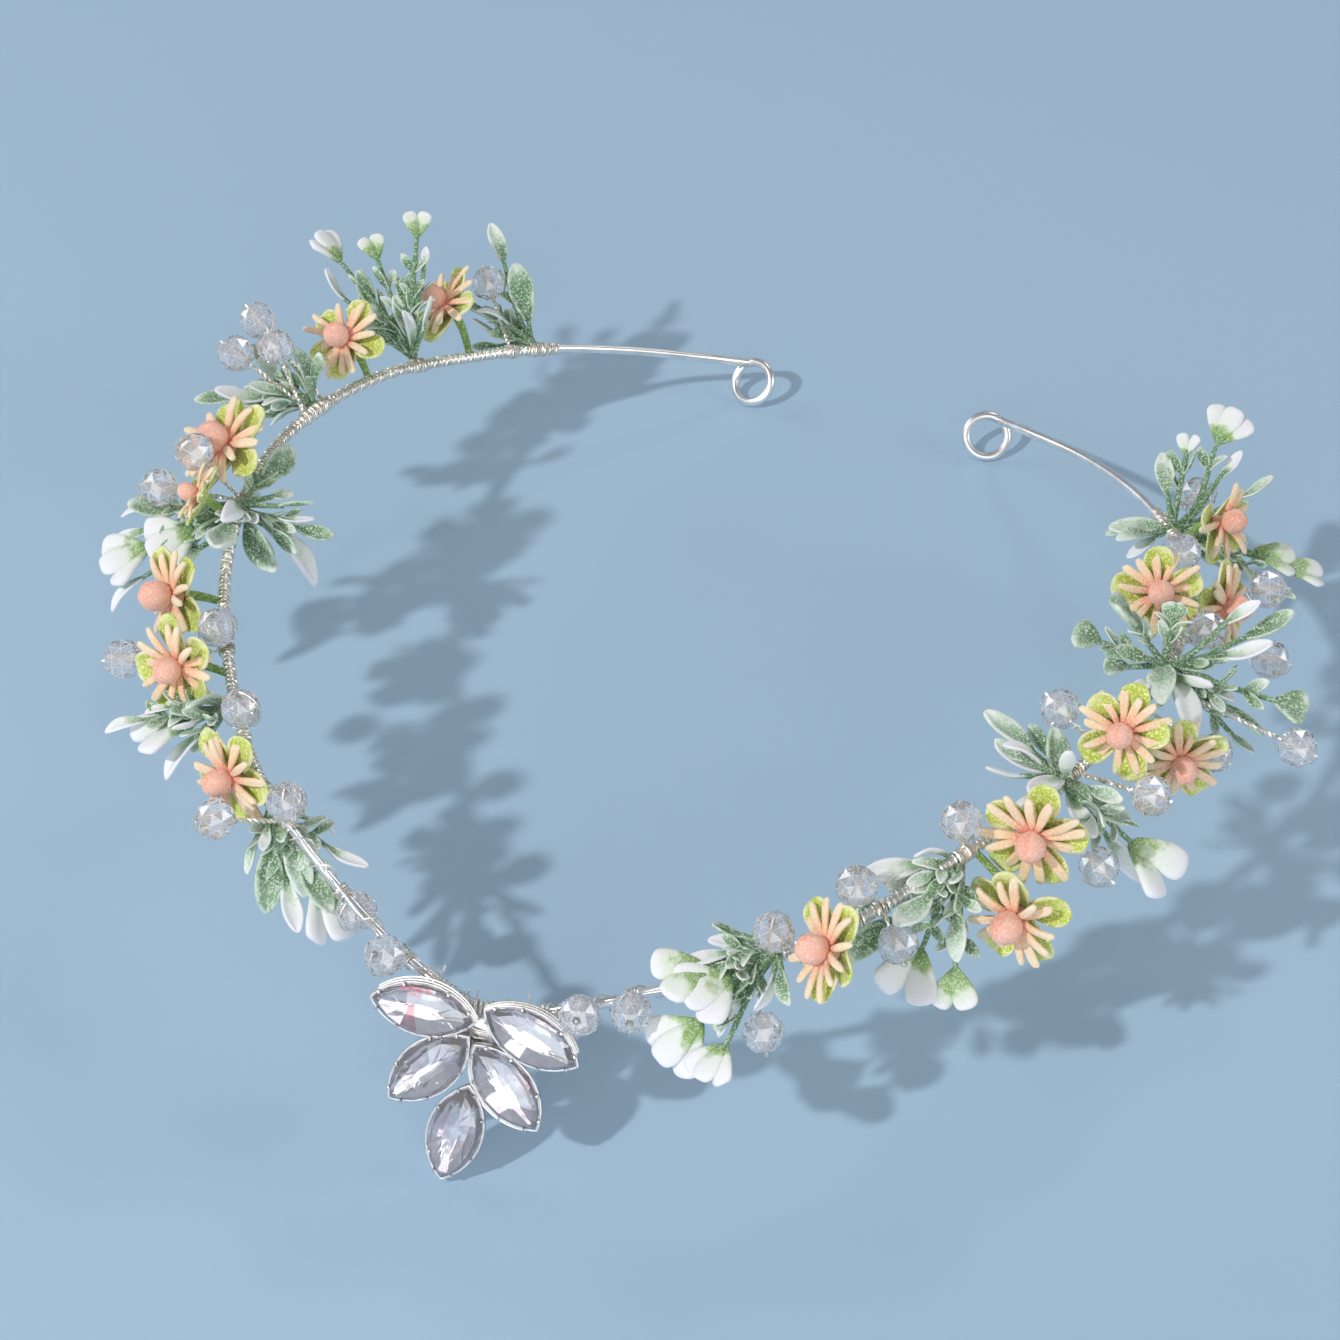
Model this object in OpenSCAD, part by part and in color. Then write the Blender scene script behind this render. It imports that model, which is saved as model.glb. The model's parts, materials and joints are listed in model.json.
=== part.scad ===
// A forehead headband: a silver wire bent round the head, dressed with flowers, leaf sprays,
// glass beads and a crystal pendant. X is to the wearer's side, the V of the band is at -Y,
// the two ribbon loops are at +Y and Z is up. Lengths are in millimetres.

/* [Band] */
// Diameter of the band's silver wire
wire_d = 1.5; // [1.2:0.1:1.8]
// Radius of each ribbon loop, to the middle of the wire
loop_r = 3.5; // [3.3:0.1:4]
// Slope of the ribbon loops from the table, in degrees
loop_slope = 48; // [44:1:52]
// How far each ribbon loop faces out to its own side, in degrees
loop_side = 20; // [16:1:24]

/* [Pendant] */
// Length of each crystal
stone_l = 14; // [13.6:0.1:14.4]
// Width of each crystal
stone_w = 7; // [6:0.5:7]
// Height of each crystal above its girdle
stone_crown = 1.5; // [1.2:0.1:1.8]
// Depth of each crystal below its girdle
stone_base = 1.9; // [1.6:0.1:1.9]
// Slope of the pendant from the table, in degrees
fan_slope = 66; // [64:1:68]
// How far the pendant hangs turned to one side, in degrees
fan_turn = 12; // [0:1:14]

/* [Flowers] */
// Width of a flower across its star of petals
flower_d = 14; // [12:0.5:14]
// Number of slender petals in the star
star_petals = 11; // [9:1:12]
// Number of rounded petals behind the star
back_petals = 5; // [4:1:5]
// Radius of the ball at the middle of a flower
dome_r = 2.5; // [2:0.1:2.7]

/* [Leaves] */
// Thickness of a leaf
leaf_t = 0.9; // [0.7:0.1:1]
// Thickness of a stem
stem_d = 0.9; // [0.7:0.1:1]

/* [Beads] */
// Diameter of a glass bead
bead_d = 6; // [5:0.5:6]
// Diameter of the hole through a bead
bead_hole = 1.1; // [1:0.1:1.2]
// Thickness of the twisted wire that carries a bead
twist_d = 0.7; // [0.5:0.1:0.8]

/* [Hidden] */
FLOWERS = 15;
SPRAYS = 10;
BEADS = 27;
STONES = 5;

// Clear space between pieces that are bound to each other
gap = 0.3;
wire_r = wire_d / 2;
// Back of the pendant's cups in front of the wire's middle, and their depth and rim
fan_back = 2.2;
cup_floor = 0.6;
cup_h = 2.7;
cup_rim = 0.4;
cup_l = stone_l + 0.35 + 2 * cup_rim;
cup_w = stone_w + 0.24 + 2 * cup_rim;
// The lowest crystal's cup: where it starts below the V, and its turn from straight down
low_cup_y = -8.9;
low_cup_turn = 13;
fan_reach = cup_l * cos(low_cup_turn) - low_cup_y;
// Height of the V, which the pendant's lowest tip sets
v_height = fan_reach * sin(fan_slope) - fan_back * cos(fan_slope);
// From the V to the middle of the whole piece
shift = [-4, -77.4, 0];

// Half of the band from the V to the loop. Columns: half-width, distance behind the V, height
BAND = [
    [0, 0, v_height], [12, 2.5, 23.5], [27, 9, 28.5], [43, 20, 33], [55, 36, 36], [65, 56, 37],
    [70.5, 77, 36], [71, 97, 33], [67, 117, 28], [59, 132, 23], [50, 143.5, 19], [40, 154, 14],
    [29, 163, 9]
];
steps = 3;
// Middle of the right loop, from the V
loop_mid = [21, 166.5, wire_r + loop_r * sin(loop_slope)];
loop_from = 50;
loop_to = 374;
loop_step = 18;

// Crystals. Columns: turn from straight down, sideways start, start below the V
STONE_FAN = [
    [98, -0.6, 0.4], [46, -1.5, -1.8], [low_cup_turn, -1.2, low_cup_y], [-38, -0.8, -2.8],
    [-63, 0.2, 2.4]
];

// Flowers. Columns: side, place of the foot along the band, and of the star from that foot
// along, out and up, then the way it faces: azimuth and height in degrees, and its size
FLOWER_PLACES = [
    [-1, 174, -0.5, 6, 7, -95, 40, 1],
    [-1, 152, 0, 4.5, 6, -30, 50, 1],
    [-1, 113, 0.5, 3.5, 6, -70, 60, 1],
    [-1, 102, 0, 5, 5, -90, 20, 0.7],
    [-1, 84, 0, 7, 2, -40, 20, 1],
    [-1, 69, 0, 7, 3, -15, 20, 1],
    [-1, 50, -0.5, 4, 2, -20, 10, 1],
    [1, 47, -0.5, 6.5, 4.5, -45, 25, 1],
    [1, 73, -0.5, 10, -5, -20, 0, 0.95],
    [1, 80, -1.5, 6, 3, 5, 10, 0.95],
    [1, 102, -3, 4, 6.5, 0, 27, 0.95],
    [1, 107, 0, 9, -2, 30, 0, 0.95],
    [1, 134, -1, -4, 7, 20, 40, 0.95],
    [1, 142, -1, 5, 1.5, 77, 15, 0.95],
    [1, 164, -0.5, 6, 4, 75, 25, 0.95]
];

// Beads. Columns: node, side, place of the foot along the band, and of the bead from that
// foot along, out and up
BEAD_PLACES = [
    [1, -1, 136, -2, 12, 9],
    [1, -1, 140, 0.5, 12, 12],
    [1, -1, 134, 3, 6.5, 10],
    [2, -1, 182, 1, 9, 8],
    [3, -1, 108, -1, 6.5, 9.5],
    [4, -1, 108, -3, 12, 3.5],
    [5, -1, 74, -0.5, 1, 5],
    [6, -1, 74, 1, 15, -0.5],
    [7, -1, 57, 0, 0, 5.5],
    [8, -1, 40, -0.5, 0.5, 5.5],
    [9, -1, 41, 3, 9.5, 3.5],
    [10, -1, 27, 0, -2, -5],
    [11, -1, 14, 0, 4, 3.5],
    [12, 1, 14, -0.5, 4, 2.5],
    [12, 1, 21, -0.5, 4, 1],
    [13, 1, 38, -0.5, 8, -5.5],
    [14, 1, 41, -0.5, 1, 5.5],
    [15, 1, 53, 0.5, -1, 5.5],
    [16, 1, 57, -0.5, 5, -2.5],
    [17, 1, 71, 0.5, -1, 5.5],
    [18, 1, 86, 0.5, 11, -5.5],
    [19, 1, 100, 0.5, -7, 3.5],
    [20, 1, 94, 2, 11.5, 1],
    [21, 1, 128, 1, 4, 4],
    [22, 1, 132, 0, 13.5, -1],
    [23, 1, 119, 1, 21.5, -5],
    [24, 1, 173, 0, 5.5, 4],
    [25, 1, 152, 0.5, -1.5, 4],
    [26, 1, 112, 2.5, 11, -6],
    [27, 1, 146, 1.5, 11.5, 1]
];

// Sprays of leaves. Columns: node, side, place of the root along the band, and the way from
// the band to the root, out and up
SPRAY_ROOTS = [
    [1, -1, 187, 1, 1], [1, -1, 163, 1, 1], [2, -1, 138, 1, 1], [3, -1, 106, 0, 1],
    [4, -1, 63, 1, 0], [5, -1, 42, 0, -1], [6, 1, 36, 0, 1], [7, 1, 66, 0, -1], [8, 1, 91, 0, 1],
    [9, 1, 122, 0, 1], [10, 1, 168, 0, 1]
];
GREEN = 0;
PALE = 1;
WHITE = 2;
BUD = 3;
// Leaves. Columns: row of the root, place of the leaf's middle from the root's foot along,
// out and up, its length, its turn about its own axis, and its kind
LEAVES = [
    [0, 1, 7, 7, 10, -30, GREEN], [0, 0, 14, 13, 7, 0, PALE], [0, -7, 9, 5, 7, 0, GREEN],
    [0, -4, 8, 3, 5, 0, GREEN],
    [1, -4, 17, 17, 7, 0, BUD], [1, 2, 13, 16, 5, 0, BUD], [1, 9, 10, 19, 5, 0, BUD],
    [1, 8, 7, 14, 4, 0, WHITE], [1, -2, 11, 10, 7, 0, GREEN], [1, 1, 5, 7, 7, 0, PALE],
    [1, -6, 14, 11, 6, 0, WHITE], [1, 3, 7, 10, 5, 0, GREEN], [1, 0, 3, 3, 5, 0, GREEN],
    [2, -8, 14, 3, 7, 0, GREEN], [2, -6, 9, 1, 8, 0, GREEN], [2, 1, 3, 6, 8, 0, GREEN],
    [2, 0, 10, 5, 7, 0, GREEN], [2, -7, 10, 4, 8, 0, WHITE], [2, -2, 6, 2, 8, -30, GREEN],
    [3, 0, 16, -2, 6, 0, WHITE], [3, -4, 17, -4, 7, 0, WHITE], [3, -1, 13, -1, 8, 0, GREEN],
    [3, -6, 0, 4, 9, -60, WHITE], [3, -12, 0, 4, 11, 0, PALE], [3, -7, -4, -1, 10, 60, GREEN],
    [3, -3, -9, -5, 12, 0, WHITE], [3, 0, -11, -4, 6, 0, GREEN], [3, -6, 10, -3, 9, 0, BUD],
    [3, -8, 17, -5, 9, 0, BUD], [3, -12, 16, -8, 7, 0, WHITE], [3, -3, 6, -2, 9, 0, GREEN],
    [3, 12, -3, -1, 10, 60, GREEN],
    [4, 0, 16, 0, 6, 0, WHITE], [4, -2, 12, -1, 9, 0, BUD], [4, -4, 9, -4, 8, 0, WHITE],
    [4, -1, 4, 3, 9, 60, GREEN], [4, -1, 7, 1, 6, 0, GREEN], [4, 1, 11, 1, 4, 0, WHITE],
    [5, -4, 5, -6, 10, 0, GREEN], [5, -8, 4, -9, 8, 0, WHITE], [5, -5, 1, -5, 9, 0, PALE],
    [5, -11, -1, -11, 10, -30, BUD], [5, -8, -5, -5, 7, 0, WHITE], [5, -8, 0, -7, 9, 0, GREEN],
    [6, -9, 3, 3, 9, 0, GREEN], [6, -6, 6, 2, 9, 0, WHITE], [6, -5, 1, 4, 7, 0, WHITE],
    [6, 0, -3, 2, 8, 0, WHITE], [6, -3, 6, -3, 6, 0, WHITE], [6, -10, 7, -6, 9, 0, BUD],
    [6, -6, 12, -6, 7, 0, BUD],
    [7, -11, -3, -4, 9, 0, GREEN], [7, -11, 0, -6, 9, -30, GREEN], [7, -4, -4, 0, 9, -30, WHITE],
    [7, -7, 4, 0, 9, 0, PALE], [7, -9, 6, -10, 9, 0, BUD], [7, -5, 11, -11, 7, 0, BUD],
    [7, -1, 7, -6, 7, 0, PALE], [7, -3, -2, -1, 7, -30, PALE],
    [8, -1, -9, 5, 9, 0, PALE], [8, -2, -6, 2, 8, 0, WHITE], [8, -4, -4, 6, 7, 0, WHITE],
    [8, -5, 1, 4, 11, 0, WHITE], [8, 1, -2, 2, 9, 0, GREEN], [8, -2, 5, -2, 8, 0, WHITE],
    [8, 2, 6, -2, 9, 0, PALE], [8, 0, 3, 1, 5, 0, GREEN], [8, 0, 12, -7, 9, 60, WHITE],
    [8, 2, 16, -7, 10, 0, BUD],
    [9, -1, -11, 3, 7, 0, GREEN], [9, -1, -6, 9, 9, 0, GREEN], [9, 2, 0, 9, 5, 0, GREEN],
    [9, -2, -6, 0, 6, 0, GREEN], [9, -5, 1, 3, 10, 0, PALE], [9, 2, 5, 1, 8, 0, GREEN],
    [9, -6, 5, 1, 12, 0, WHITE], [9, 4, 9, 4, 9, 0, WHITE], [9, 1, 7, -1, 9, 0, WHITE],
    [9, -1, 13, -4, 7, 0, GREEN], [9, 2, 18, -2, 8, 0, GREEN], [9, -3, 13, -7, 5, 0, PALE],
    [9, 8, 13, 6, 8, 0, GREEN], [9, 6, 8, 9, 7, 0, WHITE],
    [10, 8, 4, 11, 4, 0, BUD], [10, 8, 10, 14, 7, 0, BUD], [10, 4, 10, 9, 5, 0, WHITE],
    [10, 2, 14, 5, 6, 0, PALE], [10, 2, -5, 0, 9, 0, PALE], [10, -1, -5, -1, 6, 0, WHITE],
    [10, -5, 16, -4, 8, 0, BUD], [10, -7, 20, -6, 8, 0, BUD], [10, -11, 15, -5, 5, 0, GREEN],
    [10, 6, 0, 7, 7, 0, PALE], [10, -5, 7, -2, 9, 0, GREEN]
];

function two(i) = str(i < 10 ? "0" : "", i);
function unit(v) = v / norm(v);
function face(azimuth, height) =
    [sin(azimuth) * cos(height), -cos(azimuth) * cos(height), sin(height)];
function curve(a, b, c, d, u) =
    (2 * b + (c - a) * u + (2 * a - 5 * b + 4 * c - d) * u * u
    + (3 * b - a - 3 * c + d) * u * u * u) / 2;
function mirrored(p, side) = [side * p.x, p.y, p.z];

// The right ribbon loop lies in the plane of these two directions
loop_across = [cos(loop_side), sin(loop_side), 0];
loop_rise = [-sin(loop_side) * cos(loop_slope), cos(loop_side) * cos(loop_slope), sin(loop_slope)];
function loop_point(turn) =
    loop_mid + loop_r * (cos(turn) * loop_across + sin(turn) * loop_rise);
loop_points = [for (turn = [loop_from:loop_step:loop_to]) loop_point(turn)];

// Half of the band: the curve through its stations, then the loop
guide = concat([mirrored(BAND[1], -1)], BAND, [loop_points[0], loop_points[1]]);
half_curve = [for (i = [1:len(guide) - 3], k = [0:steps - 1])
    curve(guide[i - 1], guide[i], guide[i + 1], guide[i + 2], k / steps)];
half_band = concat(half_curve, loop_points);
band_points = concat(
    [for (i = [len(half_band) - 1:-1:1]) mirrored(half_band[i], -1)], half_band);

// Distance along the band of each point of the curve
function running(points, i = 0, total = 0) = i >= len(points) ? []
    : let (here = total + (i > 0 ? norm(points[i] - points[i - 1]) : 0))
        concat([here], running(points, i + 1, here));
distances = running(half_curve);
function band_at(s) = [for (axis = [0:2])
    lookup(s, [for (i = [0:len(half_curve) - 1]) [distances[i], half_curve[i][axis]]])];
function band_along(s) = let (d = band_at(s + 2) - band_at(s - 2)) unit([d.x, d.y, 0]);
// A place given by its side and distance along the band, and from there along, out and up
function spot(side, s, along = 0, out = 0, up = 0) =
    let (a = band_along(s), p = band_at(s) + along * a + out * [a.y, -a.x, 0] + [0, 0, up])
        mirrored(p, side) + shift;
// Where a round end of the given radius rests by the band, on the way from the band to a point
function seat(side, s, point, r) =
    let (foot = spot(side, s)) foot + unit(point - foot) * (wire_r + gap + r);

// Puts its children's Z axis along a direction, with their X axis level
module turned(at, direction) {
    translate(at)
        rotate([0, acos(direction.z / norm(direction)), atan2(direction.y, direction.x)])
            children();
}

module rod(from, to, r) {
    turned(from, to - from) cylinder(h = norm(to - from), r = r, $fn = 6);
}

function ring_at(points, i, r, sides) =
    let (
        last = len(points) - 1,
        way = unit(points[min(i + 1, last)] - points[max(i - 1, 0)]),
        level = unit(cross(way, [0, 0, 1])),
        rise = cross(level, way)
    ) [for (k = [0:sides - 1]) let (t = 360 * k / sides)
        points[i] + r * (cos(t) * level + sin(t) * rise)];

module tube(points, r, sides) {
    rings = len(points);
    polyhedron(
        points = [for (i = [0:rings - 1]) each ring_at(points, i, r, sides)],
        faces = concat(
            [[for (k = [sides - 1:-1:0]) k]],
            [for (i = [0:rings - 2], k = [0:sides - 1]) let (n = (k + 1) % sides)
                [i * sides + k, i * sides + n, (i + 1) * sides + n, (i + 1) * sides + k]],
            [[for (k = [0:sides - 1]) (rings - 1) * sides + k]]
        ),
        convexity = 10
    );
}

module band() {
    color("silver") tube([for (p = band_points) p + shift], wire_r, 8);
}

// Outline of a pointed oval, made of two equal arcs
module marquise(length, width) {
    big = (length * length + width * width) / (4 * width);
    half_turn = asin(length / (2 * big));
    turns = [for (k = [-4:4]) half_turn * k / 4];
    polygon(concat(
        [for (t = turns) [big * cos(t) - big + width / 2, big * sin(t)]],
        [for (k = [1:7]) [-big * cos(turns[8 - k]) + big - width / 2, big * sin(turns[8 - k])]]
    ));
}

// Places a crystal or its cup: Y runs from the cup's tip to its start, Z out of the pendant
module in_fan(i) {
    fan_place() translate([STONE_FAN[i][1], STONE_FAN[i][2], fan_back])
        rotate(-STONE_FAN[i][0]) translate([0, -cup_l / 2, 0]) children();
}

module fan_place() {
    translate([0, 0, v_height] + shift) rotate([fan_slope, 0, fan_turn]) children();
}

module stone(i) {
    girdle = 0.4;
    color("aliceblue") in_fan(i) translate([0, 0, cup_floor + 0.15]) hull() {
        linear_extrude(0.1) marquise(stone_l * 0.3, stone_w * 0.1);
        translate([0, 0, stone_base]) linear_extrude(girdle) marquise(stone_l, stone_w);
        translate([0, 0, stone_base + girdle + stone_crown - 0.1])
            linear_extrude(0.1) marquise(stone_l * 0.6, stone_w * 0.55);
    }
}

module pendant_setting() {
    clasp_l = 1.4;
    clasp_wall = 0.6;
    clasp_r = wire_r + gap + 0.15;
    hub = [-0.7, -2.6];
    color("silver") {
        for (i = [0:STONES - 1])
            in_fan(i) difference() {
                linear_extrude(cup_h) marquise(cup_l, cup_w);
                translate([0, 0, cup_floor])
                    linear_extrude(cup_h) marquise(cup_l - 2 * cup_rim, cup_w - 2 * cup_rim);
            }
        fan_place() {
            translate([hub.x, hub.y, fan_back - 0.6]) cylinder(h = 0.8, r = 3, $fn = 32);
            translate([hub.x - 1.2, low_cup_y - 1, fan_back - 0.6]) cube([2.4, 5.6, 0.8]);
            translate([-clasp_l / 2, hub.y, fan_back - 1]) cube([clasp_l, -hub.y, 1.2]);
            rotate([0, 90, 0]) difference() {
                cylinder(h = clasp_l, r = clasp_r + clasp_wall, center = true, $fn = 32);
                cylinder(h = clasp_l + 1, r = clasp_r, center = true, $fn = 32);
            }
        }
    }
}

// Outline of slender petals round a middle
module star(petals, reach) {
    circle(r = reach * 0.2, $fn = 24);
    for (k = [0:petals - 1]) rotate(360 * k / petals)
        polygon([
            [0, -0.4], [reach * 0.45, -0.75], [reach * 0.85, -0.7], [reach, -0.3],
            [reach, 0.3], [reach * 0.85, 0.7], [reach * 0.45, 0.75], [0, 0.4]
        ]);
}

// Outline of rounded petals round a middle
module rosette(petals, reach) {
    round_r = reach * 0.34;
    circle(r = reach * 0.25, $fn = 24);
    for (k = [0:petals - 1]) rotate(360 * (k + 0.5) / petals) {
        translate([reach - round_r, 0]) circle(r = round_r, $fn = 24);
        polygon([[0, -0.6], [reach - round_r, -round_r * 0.9],
            [reach - round_r, round_r * 0.9], [0, 0.6]]);
    }
}

module flower(i) {
    place = FLOWER_PLACES[i];
    at = spot(place[0], place[1], place[2], place[3], place[4]);
    way = face(place[5], place[6]);
    reach = flower_d / 2 * place[7];
    stem_r = 0.5;
    behind = 1.9;
    foot = seat(place[0], place[1], at - behind * way, stem_r);
    turned(at, way) {
        color("peachpuff") linear_extrude(0.9) star(star_petals, reach);
        color("lightsalmon") cylinder(h = 3.2, r = 1.3, $fn = 24);
        color("lightsalmon") translate([0, 0, 3.2]) sphere(r = dome_r * place[7], $fn = 24);
        color("yellowgreen") translate([0, 0, -behind]) {
            linear_extrude(0.9) rosette(back_petals, reach * 0.95);
            cylinder(h = behind + 0.4, r = 1.2, $fn = 24);
        }
    }
    color("yellowgreen") {
        rod(foot, at - (behind - 0.3) * way, stem_r);
        translate(foot) sphere(r = stem_r, $fn = 16);
    }
}

// A bead and the stretch of wire that carries it
function bead_spot(b) = spot(b[1], b[2], b[3], b[4], b[5]);
function bead_way(b) = unit(bead_spot(b) - spot(b[1], b[2]));

module bead(i) {
    color([0.85, 0.9, 0.95, 0.6])
        for (b = BEAD_PLACES) if (b[0] == i + 1)
            turned(bead_spot(b), bead_way(b)) difference() {
                sphere(d = bead_d, $fn = 32);
                cylinder(h = bead_d + 1, d = bead_hole, center = true, $fn = 16);
            }
}

module bead_wires() {
    knob_r = 0.6;
    r = twist_d / 2;
    color("silver")
        for (b = BEAD_PLACES) {
            foot = seat(b[1], b[2], bead_spot(b), r);
            top = bead_spot(b) + bead_way(b) * (bead_d / 2 + 0.15 + knob_r);
            rod(foot, top, r);
            translate(foot) sphere(r = r, $fn = 16);
            translate(top) sphere(r = knob_r, $fn = 16);
        }
}

// Outline of a leaf along X from its stem, with a notched round tip on a bud
module leaf_outline(length, width, notched) {
    half = [for (k = [1:5]) let (t = k / 6) [length * t, width / 2 * sin(180 * pow(t, 0.8))]];
    polygon(concat(
        [[0, -stem_d / 3], [0, stem_d / 3]], half, [[length, 0]],
        [for (k = [4:-1:0]) [half[k].x, -half[k].y]]
    ));
    if (notched) for (side = [-1, 1])
        translate([length * 0.7, side * width * 0.24]) circle(r = width * 0.28, $fn = 12);
}

module leaf(root, at, length, turn, kind) {
    way = unit(at - root);
    start = at - way * length / 2;
    shade = ["darkseagreen", "honeydew", "whitesmoke", "white"][kind];
    width = length * (kind == BUD ? 0.8 : kind == WHITE ? 0.5 : 0.6);
    thick = kind == BUD ? leaf_t * 2 : leaf_t;
    color("seagreen") rod(root, start + way * 0.4, stem_d / 2);
    color(shade) translate(start)
        rotate([0, acos(way.z) - 90, atan2(way.y, way.x)]) rotate([turn, 0, 0])
            translate([0, 0, -thick / 2])
                linear_extrude(thick) leaf_outline(length, width, kind == BUD);
}

module spray(i) {
    root_r = 0.85;
    for (k = [0:len(SPRAY_ROOTS) - 1]) if (SPRAY_ROOTS[k][0] == i + 1) {
        place = SPRAY_ROOTS[k];
        beyond = spot(place[1], place[2], 0, place[3], place[4]);
        root = seat(place[1], place[2], beyond, root_r);
        color("seagreen") translate(root) hull() sphere(r = root_r, $fn = 8);
        for (l = LEAVES) if (l[0] == k)
            leaf(root, spot(place[1], place[2], l[1], l[2], l[3]), l[4], l[5], l[6]);
    }
}

band();
bead_wires();
pendant_setting();
for (i = [0:STONES - 1])
    stone(i);
for (i = [0:FLOWERS - 1])
    flower(i);
for (i = [0:SPRAYS - 1])
    spray(i);
for (i = [0:BEADS - 1])
    bead(i);
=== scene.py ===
import bmesh
import bpy
import json
import math
import random
from mathutils import Matrix, Vector

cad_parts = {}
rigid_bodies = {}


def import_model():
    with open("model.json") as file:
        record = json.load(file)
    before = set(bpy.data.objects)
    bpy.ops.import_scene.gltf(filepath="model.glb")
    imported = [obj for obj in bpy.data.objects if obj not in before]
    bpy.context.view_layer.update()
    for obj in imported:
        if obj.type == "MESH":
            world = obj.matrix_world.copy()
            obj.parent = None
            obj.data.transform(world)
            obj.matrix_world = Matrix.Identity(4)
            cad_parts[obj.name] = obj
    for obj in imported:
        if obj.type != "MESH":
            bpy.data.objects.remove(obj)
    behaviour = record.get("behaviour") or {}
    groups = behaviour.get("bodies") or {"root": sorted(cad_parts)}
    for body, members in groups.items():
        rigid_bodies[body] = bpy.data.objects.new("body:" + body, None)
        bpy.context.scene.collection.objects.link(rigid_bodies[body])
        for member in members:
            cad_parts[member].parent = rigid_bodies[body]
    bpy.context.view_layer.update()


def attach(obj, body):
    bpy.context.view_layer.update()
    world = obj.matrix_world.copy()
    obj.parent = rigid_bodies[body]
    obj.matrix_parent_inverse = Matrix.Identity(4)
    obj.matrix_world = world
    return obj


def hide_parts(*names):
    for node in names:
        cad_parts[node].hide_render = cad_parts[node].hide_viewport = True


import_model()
mm = 0.001
dice = random.Random(11)
scene = bpy.context.scene
print("frame loaded")


def pick(obj):
    bpy.ops.object.select_all(action="DESELECT")
    obj.select_set(True)
    bpy.context.view_layer.objects.active = obj


def startShape(name, operator, **settings):
    # adds a primitive and opens it in edit mode with nothing selected
    operator(**settings)
    bpy.ops.object.transform_apply()
    obj = bpy.context.active_object
    obj.name = name
    bpy.ops.object.mode_set(mode="EDIT")
    bpy.ops.mesh.select_mode(type="VERT")
    bpy.ops.mesh.select_all(action="DESELECT")
    return obj


def choose(obj, test, faces=False):
    # selects the points that pass the test and the faces between them, or faces that pass it
    bpy.ops.mesh.select_mode(type="FACE" if faces else "VERT")
    mesh = bmesh.from_edit_mesh(obj.data)
    for part in mesh.faces if faces else mesh.verts:
        part.select = test(part if faces else part.co)
    mesh.select_flush_mode()
    bmesh.update_edit_mesh(obj.data)


def chooseFaces(obj, test):
    choose(obj, test, True)


def resize(x, y, z):
    bpy.ops.transform.resize(value=(x, y, z), center_override=(0, 0, 0))


def move(x, y, z):
    bpy.ops.transform.translate(value=(x, y, z))


def extrude(x, y, z):
    bpy.ops.mesh.extrude_region_move(TRANSFORM_OT_translate={"value": (x, y, z)})


def pullUp(z, sizeX=1, sizeY=1):
    # extrudes what is selected by z millimetres and scales it about the Z axis
    extrude(0, 0, z * mm)
    resize(sizeX, sizeY, 1)


def faceOutwards():
    bpy.ops.mesh.select_all(action="SELECT")
    bpy.ops.mesh.normals_make_consistent(inside=False)


def endShape(obj, modifiers=(), smooth=None):
    bpy.ops.object.mode_set(mode="OBJECT")
    pick(obj)
    for kind, settings in modifiers:
        modifier = obj.modifiers.new(kind, kind)
        for key, value in settings.items():
            setattr(modifier, key, value)
        bpy.ops.object.modifier_apply(modifier=modifier.name)
    if smooth:
        bpy.ops.object.shade_smooth_by_angle(angle=math.radians(smooth))


def wear(obj, *materials):
    for material in materials:
        obj.data.materials.append(material)
    return obj


def dropMasters(*masters):
    for master in masters:
        bpy.data.objects.remove(master)


def newObject(name, data):
    obj = bpy.data.objects.new(name, data)
    scene.collection.objects.link(obj)
    return obj


def copyOf(master, matrix):
    mesh = master.data.copy()
    mesh.transform(matrix)
    return newObject(master.name + ".part", mesh)


def joined(name, parts):
    pick(parts[0])
    for part in parts:
        part.select_set(True)
    if len(parts) > 1:
        bpy.ops.object.join()
    obj = bpy.context.view_layer.objects.active
    obj.name = obj.data.name = name
    return obj


def handOver(name, parts, slot, *nodes):
    obj = joined(name, parts)
    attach(obj, "root")
    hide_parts(*nodes)


def wire(name, material, points, radius, sides=1, taper=None):
    # a round wire through points in millimetres; taper is its last radius as a share of its first
    curve = bpy.data.curves.new(name, "CURVE")
    curve.dimensions = "3D"
    curve.bevel_depth = radius * mm
    curve.bevel_resolution = sides
    curve.use_fill_caps = True
    line = curve.splines.new("POLY")
    line.points.add(len(points) - 1)
    for k, p in enumerate(points):
        line.points[k].co = (*(Vector(p) * mm), 1)
        if taper:
            line.points[k].radius = 1 + (taper - 1) * k / (len(points) - 1)
    pick(newObject(name, curve))
    bpy.ops.object.convert(target="MESH")
    obj = bpy.context.active_object
    bpy.ops.object.shade_smooth_by_angle(angle=math.radians(60))
    return wear(obj, material)


def bezier(a, b, c, d, count):
    points = []
    for k in range(count + 1):
        t = k / count
        points.append(a * (1 - t) ** 3 + b * 3 * t * (1 - t) ** 2
                      + c * 3 * t * t * (1 - t) + d * t ** 3)
    return points


def scaled(x, y=None, z=None):
    # one size for all three ways, or one for each
    return Matrix.Diagonal((x, y or x, z or x, 1))


def shifted(x, y, z):
    return Matrix.Translation((x * mm, y * mm, z * mm))


def turn(axis, degrees):
    return Matrix.Rotation(math.radians(degrees), 4, axis)


def facing(point, direction):
    # Z along the direction, X level
    d = direction.normalized()
    return (Matrix.Translation(point * mm) @ Matrix.Rotation(math.atan2(d.y, d.x), 4, "Z")
            @ Matrix.Rotation(math.acos(d.z), 4, "Y"))


def around(a, level, rise):
    # the way at an angle round the middle of a wire
    return math.cos(a) * level + math.sin(a) * rise


def halfWidth(length, width, y):
    # of an oval with two points, at a distance from its middle
    big = (length ** 2 + width ** 2) / (4 * width)
    return math.sqrt(max(0, big * big - y * y)) - big + width / 2


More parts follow.
